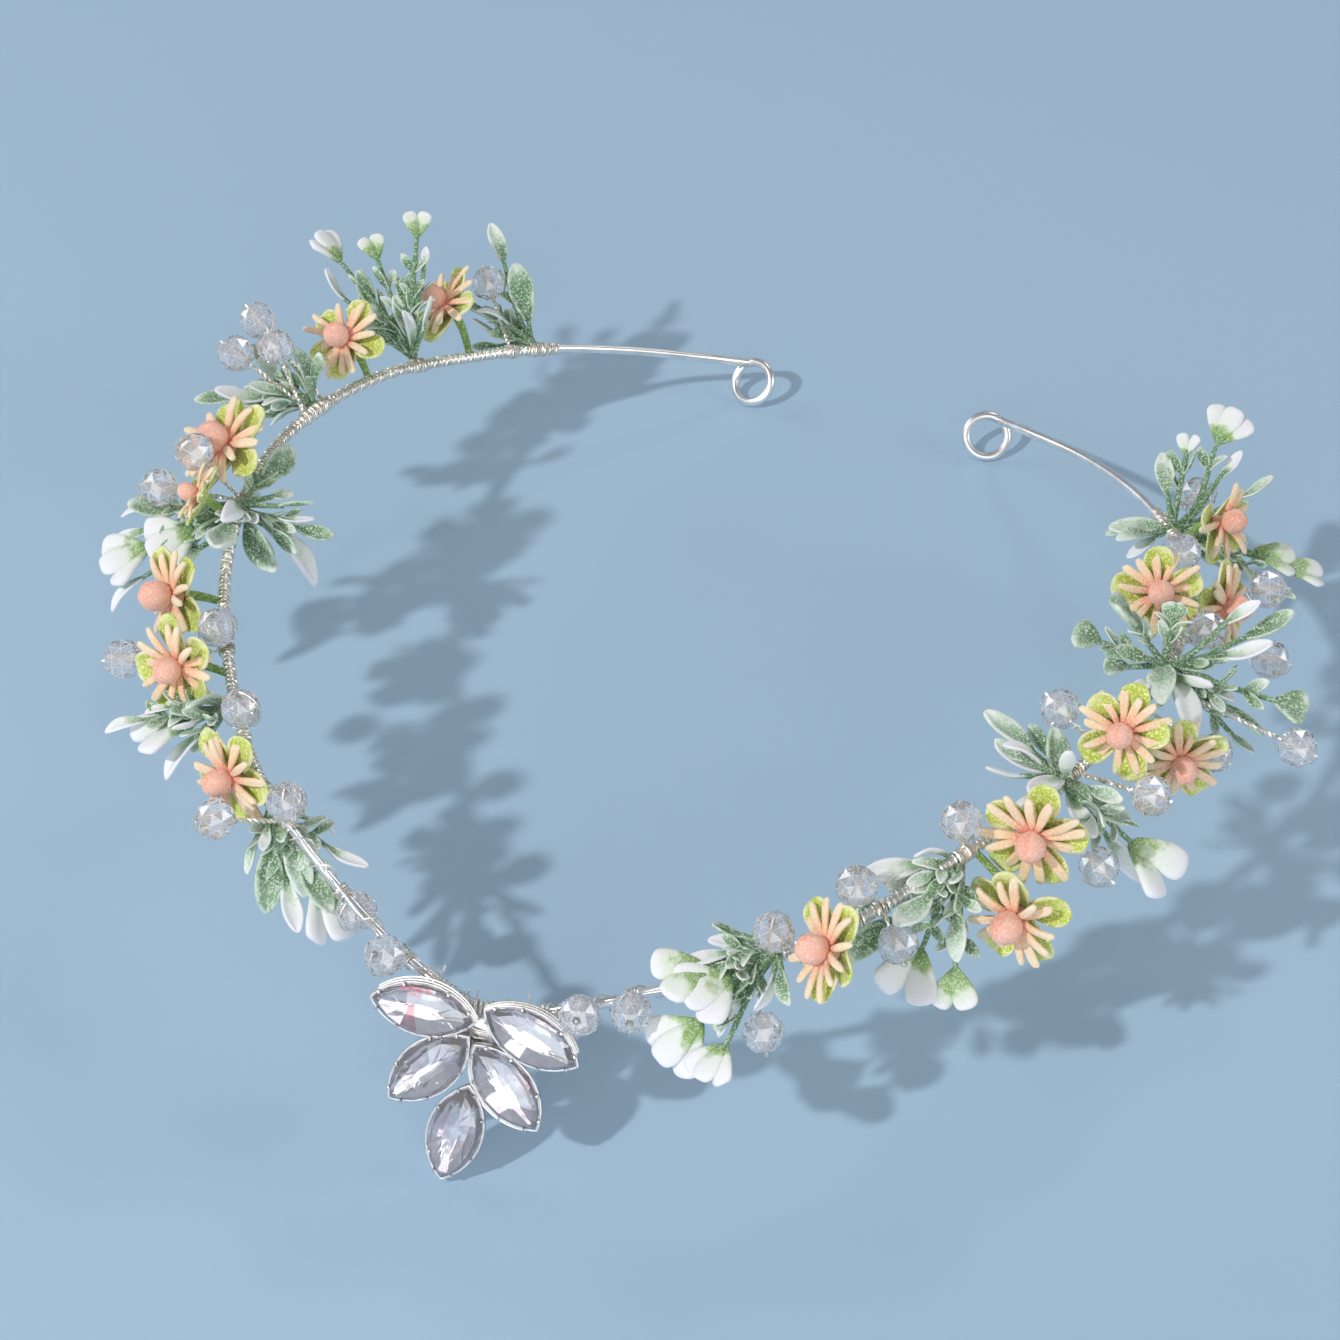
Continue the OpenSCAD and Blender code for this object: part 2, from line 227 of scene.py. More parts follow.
def linear(colour):
    values = [int(colour[k:k + 2], 16) / 255 for k in (1, 3, 5)]
    return [v / 12.92 if v <= 0.04045 else ((v + 0.055) / 1.055) ** 2.4 for v in values] + [1]


def node(tree, kind, settings=None, inputs=None, stops=()):
    # a node with its settings, its links or values, and a ramp's colours
    made = tree.nodes.new("ShaderNode" + kind)
    for key, value in (settings or {}).items():
        setattr(made, key, value)
    for key, value in (inputs or {}).items():
        if isinstance(value, bpy.types.NodeSocket):
            tree.links.new(value, made.inputs[key])
        else:
            made.inputs[key].default_value = value
    for place, colour in stops[1:-1]:
        made.color_ramp.elements.new(place)
    for k, (place, colour) in enumerate(stops):
        made.color_ramp.elements[k].position = place
        made.color_ramp.elements[k].color = linear(colour)
    return made


def newMaterial(name, **values):
    material = bpy.data.materials.new(name)
    material.use_nodes = True
    shader = material.node_tree.nodes["Principled BSDF"]
    for key, value in values.items():
        shader.inputs[key.replace("_", " ")].default_value = value
    return material, material.node_tree, shader


def noise(tree, grain, detail):
    # clouds as wide as the grain, in millimetres
    return node(tree, "TexNoise", inputs={
        "Vector": node(tree, "TexCoord").outputs["Object"],
        "Scale": 1 / (grain * mm), "Detail": detail}).outputs["Fac"]


def roughen(tree, shader, height, strength, distance):
    bump = node(tree, "Bump", inputs={
        "Strength": strength, "Distance": distance * mm, "Height": height})
    tree.links.new(bump.outputs["Normal"], shader.inputs["Normal"])


def platedMetal(name, dark, light, grain, roughness, smoothest=None, detail=3.0, ends=(0.35, 0.65)):
    # faint clouds of tone and of polish, as wide as the draw or press marks
    material, tree, shader = newMaterial(name, Metallic=1.0, Roughness=roughness)
    marks = noise(tree, grain, detail)
    tone = node(tree, "ValToRGB", inputs={"Fac": marks}, stops=[(ends[0], dark), (ends[1], light)])
    tree.links.new(tone.outputs["Color"], shader.inputs["Base Color"])
    if smoothest:
        rough = node(tree, "MapRange", inputs={
            "Value": marks, "To Min": smoothest, "To Max": roughness})
        tree.links.new(rough.outputs["Result"], shader.inputs["Roughness"])
    return material


def flockedPlastic(name, stops, speck, speckShare, rim=None, rimFrom=0.6):
    # soft PVC, injection moulded and dusted with nylon flock: matt and grainy, coloured from
    # its root to its tip and pale along its rims, where the dye wears off; the real grit of
    # about 0.1 mm is drawn at 0.3 mm so that it shows
    material, tree, shader = newMaterial(
        name, Roughness=0.85, Sheen_Weight=0.3, Sheen_Roughness=0.5, Specular_IOR_Level=0.3)
    flat = node(tree, "UVMap", {"uv_map": "UVMap"}).outputs["UV"]
    along = node(tree, "SeparateXYZ", inputs={"Vector": flat})
    drift = node(tree, "MapRange", inputs={
        "Value": noise(tree, 2.5, 2), "From Min": 0.3, "From Max": 0.7,
        "To Min": -0.16, "To Max": 0.16}).outputs["Result"]
    factor = node(tree, "Math", {"operation": "ADD", "use_clamp": True}, {
        0: along.outputs["X"], 1: drift})
    colour = node(tree, "ValToRGB", inputs={"Fac": factor.outputs["Value"]},
                  stops=stops).outputs["Color"]
    if rim:
        half = node(tree, "Math", {"operation": "SUBTRACT"}, {0: along.outputs["Y"], 1: 0.5})
        side = node(tree, "Math", {"operation": "ABSOLUTE"}, {0: half.outputs["Value"]})
        reach = node(tree, "Math", {"operation": "MULTIPLY_ADD"}, {
            0: side.outputs["Value"], 1: 1.9, 2: drift})
        edge = node(tree, "MapRange", {"interpolation_type": "SMOOTHSTEP"}, {
            "Value": reach.outputs["Value"], "From Min": rimFrom, "From Max": 0.95})
        colour = node(tree, "Mix", {"data_type": "RGBA"}, {
            "Factor": edge.outputs["Result"], 6: colour, 7: linear(rim)}).outputs[2]
    grit = noise(tree, 0.3, 1)
    dust = node(tree, "MapRange", inputs={
        "Value": grit, "From Min": 0.48, "From Max": 0.66, "To Min": 0, "To Max": speckShare})
    specks = node(tree, "Mix", {"data_type": "RGBA"}, {
        "Factor": dust.outputs["Result"], 6: colour, 7: linear(speck)})
    tree.links.new(specks.outputs[2], shader.inputs["Base Color"])
    roughen(tree, shader, grit, 0.6, 0.12)
    return material


def pressedGlass(name, colour, ior, roughness, clear, coat=0.0, bloom=0.0):
    # glass pressed in a mould and then cut or fire polished: its faces are never quite flat
    material, tree, shader = newMaterial(
        name, Base_Color=linear(colour), Roughness=roughness, IOR=ior, Transmission_Weight=clear,
        Coat_Weight=coat, Coat_Roughness=0.0, Coat_IOR=2.0,
        Sheen_Weight=bloom, Sheen_Roughness=0.12)
    roughen(tree, shader, noise(tree, 1.4, 1), 0.05, 0.05)
    return material


# silver-plated copper wire, drawn: bright, round highlights, a little warm
silverWire = platedMetal("silverPlatedWire", "#F4F0EB", "#FFFFFF", 4.0, 0.4, 0.25)
# the same wire drawn thin: its turns catch the light one by one
fineWire = platedMetal("fineSilverWire", "#F5EDE0", "#FFFCF6", 0.3, 0.46, 0.31)
# brass stamped thin and silver plated: softer and greyer than the wire
stampedCup = platedMetal("stampedSilverPlate", "#D0CECF", "#ECEAEA", 0.8, 0.38, 0.23)
# cut crystal glass with a hard clear coat: sharp flat facets that break up what they show
cutCrystal = pressedGlass("cutCrystal", "#FDF9FC", 1.55, 0.0, 0.86, 1.0)
# fire-polished glass: clear, slightly milky, with a white bloom towards its outline
polishedBead = pressedGlass("firePolishedGlass", "#FFFCFF", 1.5, 0.0, 0.84, 1.0, 1.0)
# glass left ground in the drilled hole, whiter and frosted; the same frosted white on the narrow
# ridges between facets is painted highlight, standing for the bright streaks along facet edges
groundGlassAndRidgeHighlight = pressedGlass("groundGlassAndRidgeHighlight", "#FFFFFF", 1.52, 0.35, 0.5)
# silver foil behind the crystals: an uneven mirror that throws the light back white
foil = {"roughness": 0.04, "detail": 2.0, "ends": (0.4, 0.56)}
silverFoil = platedMetal("silverFoil", "#EDE2EA", "#FFFFFF", 2.4, **foil)
# painted reflection: a pink patch in the foil of one stone that stands for the glint of something
# red nearby
# pink colour painted into the foil as a reflection
pinkReflectionFoil = platedMetal("pinkReflectionFoil", "#C8485E", "#E98C9B", 1.5, **foil)
# flocked soft PVC in the colours of its parts: petals salmon at the root and cream at the tip
peachPetal = flockedPlastic(
    "flockedPeachPetal",
    [(0.05, "#EE957A"), (0.24, "#F2B28F"), (0.48, "#F3CAA0"), (0.95, "#F6E0BC")], "#FFF6E8", 0.5)
coralBall = flockedPlastic("flockedCoralBall", [(0, "#F3A98F"), (1, "#F8BDA6")], "#FFE2D6", 0.6)
# glittered instead of flocked: yellow-green with pale sparks and a cream rim
limePetal = flockedPlastic(
    "glitteredLimePetal",
    [(0.1, "#94A93A"), (0.45, "#ABBE40"), (0.85, "#BCCB50"), (1, "#DDE2A0")],
    "#F4F7B4", 0.85, "#EDE6C4", 0.72)
sageLeaf = flockedPlastic(
    "flockedSageLeaf",
    [(0, "#55794F"), (0.5, "#64885F"), (0.82, "#92B08C"), (1, "#DFEADD")],
    "#E6F0E2", 0.7, "#C0D4BC", 0.64)
mintLeaf = flockedPlastic(
    "flockedMintLeaf",
    [(0, "#658C60"), (0.4, "#90B08C"), (0.75, "#C3D6C2"), (1, "#EDF2EC")],
    "#F4F8F2", 0.65, "#DFEADC", 0.58)
# white soft PVC, barely flocked, with green only at its root
whiteLeaf = flockedPlastic(
    "flockedWhiteLeaf",
    [(0, "#67905F"), (0.25, "#A5C19C"), (0.48, "#E6ECE4"), (1, "#F3F1F8")],
    "#FFFFFF", 0.3, "#F2F1F8", 0.55)
budLobe = flockedPlastic(
    "flockedBudLobe",
    [(0.1, "#6B9450"), (0.3, "#98B86E"), (0.44, "#E8EEE4"), (1, "#F3F1F9")], "#F6F9F0", 0.4)
# the same buds dyed further up, with white tips
greenBud = flockedPlastic(
    "flockedGreenBud",
    [(0.1, "#6B9450"), (0.5, "#9DBB7C"), (0.64, "#DDE8D2"), (1, "#F3F1F9")], "#EFF6E4", 0.5)
sageStem = flockedPlastic("flockedSageStem", [(0, "#557A50"), (1, "#6F9468")], "#DCE9D8", 0.7)
limeStem = flockedPlastic("flockedLimeStem", [(0, "#668B42"), (1, "#8FAE54")], "#E2ECBC", 0.5)
print("materials made")


bandShape = {
    "wireRadius": 0.75,
    "loopRadius": 3.5,
    "loopSlope": 48,
    "loopSide": 20,
    "stationSteps": 3,  # between two stations, as in the CAD
    "smoothSteps": 16,
    "loopFrom": 50,  # where the wire comes in, and the step of its turn, in degrees
    "loopStep": 9.45,
    "toMiddle": Vector((-4, -77.4, 0)),
}
pendantShape = {
    "stoneLength": 14,
    "stoneWidth": 7,
    "crown": 1.5,
    "base": 1.9,
    "girdle": 0.4,
    "shoulder": (0.8, 0.86),  # widths and lengths of the crown's steps to the girdle's
    "table": (0.16, 0.5),
    "keel": (0.1, 0.4),
    "slope": 66,
    "turn": 12,
    "back": 2.2,
    "cupFloor": 0.6,
    "cupHeight": 2.7,
    "cupRim": 0.4,
    "cupFoot": 0.7,  # share of the cup's outline that its foot has
    "wallFrom": 1.7,
    "clawsAt": (-6.3, -3.1, 3.1, 6.3),
    "corners": 16,
    "cupCorners": 32,
    "backDepth": 0.5,
    "plateRadius": 3,
    "plateThick": 0.8,
    "plateAt": (-0.7, -2.6, 2),
    "plateEdge": 0.7,
    "plateDome": 0.25,
    "pinkReflectionFrom": -2.6,  # where the painted pink reflection lies in the first stone
    "pinkReflectionTo": -1,
    "hangers": 5,  # turns over the V
    "hangerStep": 0.75,
    "hangerReach": 1.55,
    "bindings": 6,  # short wires between the stones
    "bindingStep": 1.1,
    "wireRadius": 0.2,
    "rimStones": {0: -1, 3: -1, 4: 1},  # and the side that carries the thin wires
    "rimGaps": (0.13, 0.42),
    "rimWire": 0.12,
    # turn from straight down, sideways start, start below the V
    "fan": [(98, -0.6, 0.4), (46, -1.5, -1.8), (13, -1.2, -8.9), (-38, -0.8, -2.8),
            (-63, 0.2, 2.4)],
}
pendantShape["cupLength"] = pendantShape["stoneLength"] + 0.35 + 2 * pendantShape["cupRim"]
pendantShape["cupWidth"] = pendantShape["stoneWidth"] + 0.24 + 2 * pendantShape["cupRim"]
# the V stands as high as the lowest stone needs
lowTurn, _, lowStart = pendantShape["fan"][2]
fanReach = pendantShape["cupLength"] * math.cos(math.radians(lowTurn)) - lowStart
fanSlope = math.radians(pendantShape["slope"])
peakHeight = fanReach * math.sin(fanSlope) - pendantShape["back"] * math.cos(fanSlope)

# half-width, distance behind the V, height
bandStations = [Vector(p) for p in (
    (0, 0, peakHeight), (12, 2.5, 23.5), (27, 9, 28.5), (43, 20, 33), (55, 36, 36), (65, 56, 37),
    (70.5, 77, 36), (71, 97, 33), (67, 117, 28), (59, 132, 23), (50, 143.5, 19), (40, 154, 14),
    (29, 163, 9))]
slope, side = math.radians(bandShape["loopSlope"]), math.radians(bandShape["loopSide"])
loopHeight = bandShape["wireRadius"] + bandShape["loopRadius"] * math.sin(slope)
loopMiddle = Vector((21, 166.5, loopHeight))
loopAcross = Vector((math.cos(side), math.sin(side), 0))
loopRise = Vector((-math.sin(side) * math.cos(slope), math.cos(side) * math.cos(slope),
                   math.sin(slope)))


def loopPoint(degrees):
    return loopMiddle + bandShape["loopRadius"] * around(
        math.radians(degrees), loopAcross, loopRise)


def mirrored(p, hand):
    return Vector((hand * p.x, p.y, p.z))


def bandCurve(steps):
    # a smooth curve through the stations and into the loop
    start = bandShape["loopFrom"]
    guide = [mirrored(bandStations[1], -1), *bandStations, loopPoint(start), loopPoint(start + 18)]
    points = []
    for k in range(1, len(guide) - 2):
        a, b, c, d = guide[k - 1:k + 3]
        for j in range(steps):
            u = j / steps
            points.append((2 * b + (c - a) * u + (2 * a - 5 * b + 4 * c - d) * u * u
                           + (3 * b - a - 3 * c + d) * u ** 3) / 2)
    return points


def withDistances(points):
    total, rows = 0, []
    for k, p in enumerate(points):
        total += (p - points[k - 1]).length if k else 0
        rows.append((total, p))
    return rows


coarseBand = withDistances(bandCurve(bandShape["stationSteps"]))
smoothBand = withDistances(bandCurve(bandShape["smoothSteps"]))


def bandAt(s, rows=coarseBand):
    if s <= 0:
        return rows[0][1].copy()
    for (a, p), (b, q) in zip(rows, rows[1:]):
        if s <= b:
            return p.lerp(q, (s - a) / (b - a))
    return rows[-1][1].copy()


def spot(hand, s, along=0, out=0, up=0):
    # a place beside the band, s along it from the V on the side of the hand
    d = bandAt(s + 2) - bandAt(s - 2)
    a = Vector((d.x, d.y, 0)).normalized()
    p = bandAt(s) + along * a + out * Vector((a.y, -a.x, 0)) + Vector((0, 0, up))
    return mirrored(p, hand) + bandShape["toMiddle"]


def faceWay(azimuth, height):
    a, h = math.radians(azimuth), math.radians(height)
    return Vector((math.sin(a) * math.cos(h), -math.cos(a) * math.cos(h), math.sin(h)))


def bandFrame(hand, s):
    # a point on the middle of the wire and two directions square to it
    p = mirrored(bandAt(s, smoothBand), hand) + bandShape["toMiddle"]
    ahead = mirrored(bandAt(s + 0.6, smoothBand) - bandAt(s - 0.6, smoothBand), hand)
    ahead.normalize()
    level = ahead.cross(Vector((0, 0, 1))).normalized()
    return p, level, level.cross(ahead)


# flowers: side, foot along the band, then of the star along, out and up, azimuth, height, size
flowerPlaces = [
    (-1, 174, -0.5, 6, 7, -95, 40, 1), (-1, 152, 0, 4.5, 6, -30, 50, 1),
    (-1, 113, 0.5, 3.5, 6, -70, 60, 1), (-1, 102, 0, 5, 5, -90, 20, 0.7),
    (-1, 84, 0, 7, 2, -40, 20, 1), (-1, 69, 0, 7, 3, -15, 20, 1), (-1, 50, -0.5, 4, 2, -20, 10, 1),
    (1, 47, -0.5, 6.5, 4.5, -45, 25, 1), (1, 73, -0.5, 10, -5, -20, 0, 0.95),
    (1, 80, -1.5, 6, 3, 5, 10, 0.95), (1, 102, -3, 4, 6.5, 0, 27, 0.95),
    (1, 107, 0, 9, -2, 30, 0, 0.95), (1, 134, -1, -4, 7, 20, 40, 0.95),
    (1, 142, -1, 5, 1.5, 77, 15, 0.95), (1, 164, -0.5, 6, 4, 75, 25, 0.95)]
# beads: node, side, foot along the band, then of the bead along, out and up
beadPlaces = [
    (1, -1, 136, -2, 12, 9), (1, -1, 140, 0.5, 12, 12), (1, -1, 134, 3, 6.5, 10),
    (2, -1, 182, 1, 9, 8), (3, -1, 108, -1, 6.5, 9.5), (4, -1, 108, -3, 12, 3.5),
    (5, -1, 74, -0.5, 1, 5), (6, -1, 74, 1, 15, -0.5), (7, -1, 57, 0, 0, 5.5),
    (8, -1, 40, -0.5, 0.5, 5.5), (9, -1, 41, 3, 9.5, 3.5), (10, -1, 27, 0, -2, -5),
    (11, -1, 14, 0, 4, 3.5), (12, 1, 14, -0.5, 4, 2.5), (12, 1, 21, -0.5, 4, 1),
    (13, 1, 38, -0.5, 8, -5.5), (14, 1, 41, -0.5, 1, 5.5), (15, 1, 53, 0.5, -1, 5.5),
    (16, 1, 57, -0.5, 5, -2.5), (17, 1, 71, 0.5, -1, 5.5), (18, 1, 86, 0.5, 11, -5.5),
    (19, 1, 100, 0.5, -7, 3.5), (20, 1, 94, 2, 11.5, 1), (21, 1, 128, 1, 4, 4),
    (22, 1, 132, 0, 13.5, -1), (23, 1, 119, 1, 21.5, -5), (24, 1, 173, 0, 5.5, 4),
    (25, 1, 152, 0.5, -1.5, 4), (26, 1, 112, 2.5, 11, -6), (27, 1, 146, 1.5, 11.5, 1)]
green, pale, white, bud, heart = range(5)
# sprays: node, side, root along the band, way to the root out and up, then each leaf with
# its middle along, out and up, its length, its kind and any turn
sprays = [
    (1, -1, 187, 1, 1, [
        (1, 7, 7, 10, green, -30), (0, 14, 13, 7, pale), (-7, 9, 5, 7, green),
        (-4, 8, 3, 5, green)]),
    (1, -1, 163, 1, 1, [
        (-4, 17, 17, 7, bud), (2, 13, 16, 5, bud), (9, 10, 19, 5, bud), (8, 7, 14, 4, white),
        (-2, 11, 10, 7, green), (1, 5, 7, 7, pale), (-6, 14, 11, 6, white), (3, 7, 10, 5, green),
        (0, 3, 3, 5, green)]),
    (2, -1, 138, 1, 1, [
        (-8, 13.8, 3, 7, green), (-6, 9, 1, 8, green), (1, 3, 6, 8, green), (0, 10, 5, 7, green),
        (-7, 10, 4, 8, white), (-2, 6, 2, 8, green, -30)]),
    (3, -1, 106, 0, 1, [
        (0, 16, -2, 6, white), (-4, 17, -4, 7, white), (-1, 13, -1, 8, green),
        (-6, 0, 4, 9, white, -60), (-12, 0, 4, 11, pale), (-7, -4, -1, 10, green, 60),
        (-3, -9, -5, 12, white), (0, -11, -4, 6, green), (-6, 10, -3, 9, bud),
        (-8, 17, -5, 9, bud), (-12, 16, -8, 7, white), (-3, 6, -2, 9, green),
        (12, -3, -1, 10, green, 60)]),
    (4, -1, 63, 1, 0, [
        (0, 16, 0, 6, white), (-2, 12, -1, 9, bud), (-4, 9, -4, 8, white),
        (-1, 4, 3, 9, green, 60), (-1, 7, 1, 6, green), (1, 11, 1, 4, white)]),
    (5, -1, 42, 0, -1, [
        (-4, 5, -6, 10, green), (-8, 4, -9, 8, white), (-5, 1, -5, 9, pale),
        (-11, -1, -11, 10, bud, -30), (-8, -5, -5, 7, white), (-8, 0, -7, 9, green)]),
    (6, 1, 36, 0, 1, [
        (-9, 3, 3, 9, bud), (-6, 6, 2, 9, bud), (-5, 1, 4, 7, white), (0, -3, 2, 8, white),
        (-3, 6, -3, 6, white), (-10, 7, -6, 9, bud), (-6, 12, -6, 7, bud)]),
    (7, 1, 66, 0, -1, [
        (-11, -3, -4, 9, green), (-11, 0, -6, 9, green, -30), (-4, -4, 0, 9, white, -30),
        (-7, 4, 0, 9, pale), (-9, 6, -10, 9, bud), (-5, 11, -11, 7, bud), (-1, 7, -6, 7, pale),
        (-3, -2, -1, 7, pale, -30)]),
    (8, 1, 91, 0, 1, [
        (-1, -9, 5, 9, pale), (-2, -6, 2, 8, white), (-4, -4, 6, 7, white), (-5, 1, 4, 11, white),
        (1, -2, 2, 9, green), (-2, 5, -2, 8, white), (2, 6, -2, 9, pale), (0, 3, 1, 5, green),
        (0, 12, -7, 9, white, 60), (2, 16, -7, 10, bud)]),
    (9, 1, 122, 0, 1, [
        (-1, -11, 3, 7, heart), (-1, -6, 9, 9, heart), (2, 0, 9, 5, heart), (-2, -6, 0, 6, heart),
        (-5, 1, 3, 10, pale), (1, 6, -1, 6, green), (-6, 5, 1, 12, white), (3, 11, 5, 8, white),
        (1, 7, -1, 9, white), (-1, 13, -4, 7, green), (2, 18, -2, 8, heart),
        (-3, 13, -7, 5, pale), (8, 13, 6, 8, green), (6, 9, 9.5, 6, white)]),
    (10, 1, 168, 0, 1, [
        (8, 4, 11, 4, bud), (8, 10, 14, 7, bud), (4, 10, 9, 5, white), (2, 14, 5, 6, pale),
        (2, -5, 0, 9, pale), (-1, -5, -1, 6, white), (-5, 16, -4, 8, bud), (-7, 20, -6, 8, bud),
        (-11, 15, -5, 5, green), (6, 0, 7, 7, pale), (-5, 7, -2, 9, green)]),
]


windings = {
    "mainRadius": 0.73,
    "strandRadius": 0.27,  # the two thinner wires that run beside the main one near the V
    "strandFrom": 0.4,
    "strandEnd": 44,
    "strandSway": 25,  # degrees round the main wire
    "fineRadius": 0.16,  # the thin wire wound round everything
    "coilFrom": 1.1,  # the tight spring on each side of the V
    "coilEnd": 9.5,
    "coilPitch": 0.78,
    "openPitch": 5.2,  # the few turns that hold the strands together
    "wrapPitch": 0.82,
    "wrapEnd": {-1: 191, 1: 176},
    "closeTurns": 5,  # the last of the wrapping is wound closer
    "closePitch": 0.4,
    "cutEnds": 6,  # wire ends that stand out of the spring by the V
    "cutEndStep": 1.4,
    "cutEndReach": (2.4, 3.1),
    "bindingPitch": 0.42,
    # half the binding's length, its turns' radius and its wire's, for a bead's stalk and a spray
    "stalkBinding": (0.9, 1.12, 0.17),
    "sprayBinding": (1.5, 1.15, 0.18),
}


def coil(hand, start, end, pitch, radius, points=8):
    made = []
    count = int((end - start) / pitch * points)
    for k in range(count + 1):
        s = start + (end - start) * k / count
        p, level, rise = bandFrame(hand, s)
        made.append(p + radius * around(2 * math.pi * k / points, level, rise))
    return made


def binding(hand, s, half, reach, radius):
    # a few turns that hold something to the band
    turns = coil(hand, s - half, s + half, windings["bindingPitch"], reach)
    return wire("binding", fineWire, turns, radius, 0)


def bandPath():
    # the loop closes where its end meets the wire that comes in
    half = [p for s, p in smoothBand] + [
        loopPoint(bandShape["loopFrom"] + bandShape["loopStep"] * k) for k in range(37)]
    return [mirrored(p, -1) + bandShape["toMiddle"] for p in reversed(half[1:])] + [
        p + bandShape["toMiddle"] for p in half]


def bandPiece():
    w = windings
    parts = [wire("mainWire", silverWire, bandPath(), w["mainRadius"], 3)]
    for hand in (-1, 1):
        reach = w["mainRadius"] + w["strandRadius"] + 0.02
        for angle in (90 - 45 * hand, 270 - 45 * hand):  # in front of the main wire and behind
            points = []
            for k in range(61):
                s = w["strandFrom"] + k * (w["strandEnd"] - w["strandFrom"]) / 60
                p, level, rise = bandFrame(hand, s)
                a = math.radians(angle + w["strandSway"] * math.sin(s / 7))
                points.append(p + reach * around(a, level, rise))
            parts.append(wire("strand", silverWire, points, w["strandRadius"]))
        near = w["mainRadius"] + w["fineRadius"]
        outer = near + 1.3 * w["strandRadius"]
        end = w["wrapEnd"][hand]
        for run in (
            (w["coilFrom"], w["coilEnd"], w["coilPitch"], outer, 12),
            (w["coilEnd"], w["strandEnd"], w["openPitch"], outer),
            (w["strandEnd"], end, w["wrapPitch"], near),
            (end - w["closeTurns"], end, w["closePitch"], near + 0.03),
        ):
            parts.append(wire("wrap", fineWire, coil(hand, *run), w["fineRadius"], 0))
        for k in range(w["cutEnds"]):
            s = 2 + w["cutEndStep"] * k + dice.uniform(-0.3, 0.3)
            p, level, rise = bandFrame(hand, s)
            way = around(math.radians(dice.uniform(20, 120)), level, rise)
            tip = p + way * dice.uniform(*w["cutEndReach"])
            tip += Vector((dice.uniform(-0.4, 0.4), 0, 0))
            parts.append(wire("wireEnd", fineWire, [p + way * 1.3, p + way * 2, tip], 0.14, 0))
    handOver("band_wires", parts, "silver_wire", "band")


bandPiece()
print("band wound")


beadShape = {
    "diameter": 6,
    "ringAngle": 31.7718,  # from the pole to the first ring of corners
    "hole": 1.1,
    "rimRise": 0.12,  # how far the ground rim of the hole stands out
    "ridge": 0.035,  # narrow edge face between two facets, given the frosted glass as painted highlight
    "paintedHighlightArea": 0.1575,  # faces smaller than this, in mm2, are ridges and get the frosted glass as painted highlight
    "strand": 0.2,
    "twist": 1.6,
    "overGlass": 0.1,  # the wire that runs back over the glass, and its way round
    "overGap": 0.16,
}


def beadMaster():
    # a fire-polished round: flat facets all over, with the hole drilled through
    r = beadShape["diameter"] / 2
    capAngle = math.radians(beadShape["ringAngle"])
    capInside = r * math.sin(capAngle) * math.cos(math.pi / 5)
    obj = startShape("facetedBead", bpy.ops.mesh.primitive_ico_sphere_add,
                     subdivisions=2, radius=r * mm)
    for sign in (1, -1):
        choose(obj, lambda co: sign * co.z > r * math.cos(capAngle) * mm - 1e-5)
        bpy.ops.mesh.dissolve_faces()
        chooseFaces(obj, lambda f: f.normal.z * sign > 0.98)
        bpy.ops.mesh.inset(thickness=(capInside - beadShape["hole"] / 2) * mm)
        move(0, 0, sign * beadShape["rimRise"] * mm)
    chooseFaces(obj, lambda f: abs(f.normal.z) > 0.98 and len(f.verts) == 5)
    bpy.ops.mesh.bridge_edge_loops()
    faceOutwards()
    endShape(obj, [("BEVEL", {"width": beadShape["ridge"] * mm, "segments": 1,
                              "angle_limit": math.radians(10)})])
    wear(obj, polishedBead, groundGlassAndRidgeHighlight)
    # the hole's faces are ground glass; the narrow ridge faces get it too as painted highlight
    for face in obj.data.polygons:
        across = Vector((face.center.x, face.center.y)).length
        face.material_index = int(across < beadShape["hole"] * 0.6 * mm
                                  or face.area < beadShape["paintedHighlightArea"] * mm * mm)
    return obj


def twisted(start, end, pitch, reach, points=8):
    # two strands wound round each other between two points
    axis = end - start
    place = facing(Vector(), axis)
    across, rise = place.to_3x3() @ Vector((1, 0, 0)), place.to_3x3() @ Vector((0, 1, 0))
    count = max(4, int(axis.length / pitch * points))
    strands = []
    for begin in (0, math.pi):
        line = []
        for k in range(count + 1):
            a = begin + 2 * math.pi * k / points
            line.append(start + axis * k / count + reach * around(a, across, rise))
        strands.append(line)
    return strands


def beadPieces():
    master = beadMaster()
    stalks, byNode = [], {}
    r = beadShape["diameter"] / 2
    strand = beadShape["strand"]
    for number, hand, s, along, out, up in beadPlaces:
        at = spot(hand, s, along, out, up)
        foot = spot(hand, s)
        way = (at - foot).normalized()
        byNode.setdefault(number, []).append(copyOf(master, facing(at, way)))
        across = facing(Vector(), way).to_3x3() @ Vector((1, 0, 0))
        near, far = at - way * (r + 0.1), at + way * (r + 0.12)
        if (near - foot).length > 1.4:
            for line in twisted(foot + way * 0.7, near, beadShape["twist"], strand):
                stalks.append(wire("stalk", fineWire, line, strand, 0))
        # through the hole, over the outside of the glass and back to the stalk
        for sign in (-1, 1):
            line = [near, at + sign * strand * across * 0.9, far]
            stalks.append(wire("inHole", fineWire, line, strand, 0))
        over = [at + (r + beadShape["overGap"]) * around(math.pi * k / 12, way * 1.03, across)
                for k in range(13)]
        stalks.append(wire("overGlass", fineWire, over, beadShape["overGlass"], 0))
        stalks.append(binding(hand, s, *windings["stalkBinding"]))
    handOver("bead_stalks", stalks, "silver_wire", "bead_wires")
    for number, parts in byNode.items():
        handOver(f"glass_bead_{number:02d}", parts, "clear_glass", f"bead_{number:02d}")
    dropMasters(master)


beadPieces()
print("beads strung")


